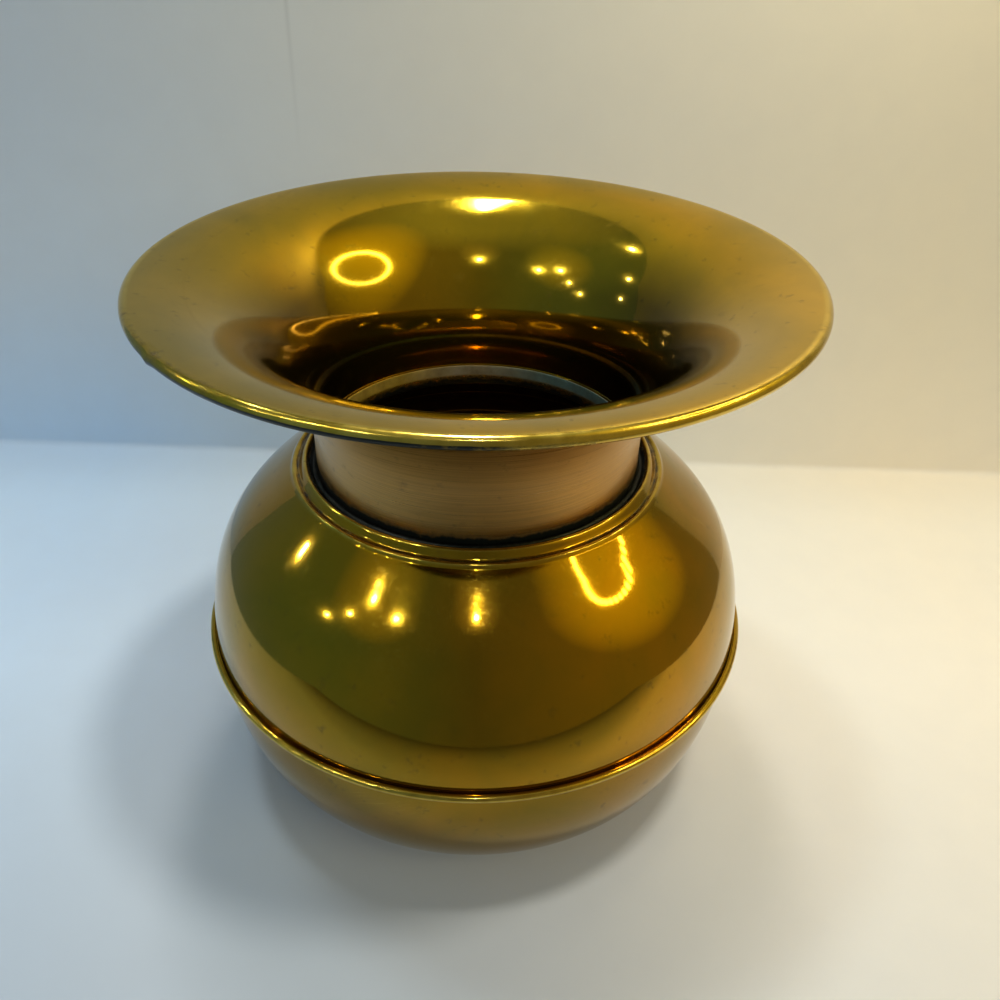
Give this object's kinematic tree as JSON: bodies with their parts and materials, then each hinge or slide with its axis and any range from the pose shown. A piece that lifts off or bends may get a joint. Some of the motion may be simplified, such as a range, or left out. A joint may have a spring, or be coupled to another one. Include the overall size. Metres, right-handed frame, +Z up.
{
  "type": "spittoon",
  "caption": "Round spun-metal spittoon with a wide flared mouth on a short neck, a stepped collar and a bulbous body joined by a folded seam.",
  "frame": {"origin": "middle of the foot, on the floor", "axes": "+Z up along the vessel's axis; X and Y are level, and the vessel is round, so their direction is free"},
  "size_m": [0.2, 0.2, 0.178],
  "materials": {
    "funnel_brass": "tarnished, polished inside, satin on the neck",
    "body_brass": "tarnished, buffed to a gloss",
    "base_brass": "dull, handled",
    "wire_steel": "drawn wire",
    "solder": "soft solder, dull grey",
    "ballast_iron": "as cast"
  },
  "bodies": {
    "root": {"funnel": "funnel_brass", "rim_wire": "wire_steel", "shoulder": "body_brass", "bowl": "body_brass", "neck_solder": "solder", "seam_solder": "solder", "ballast": "ballast_iron", "base_plate": "base_brass", "base_solder": "solder"}
  },
  "joints": []
}
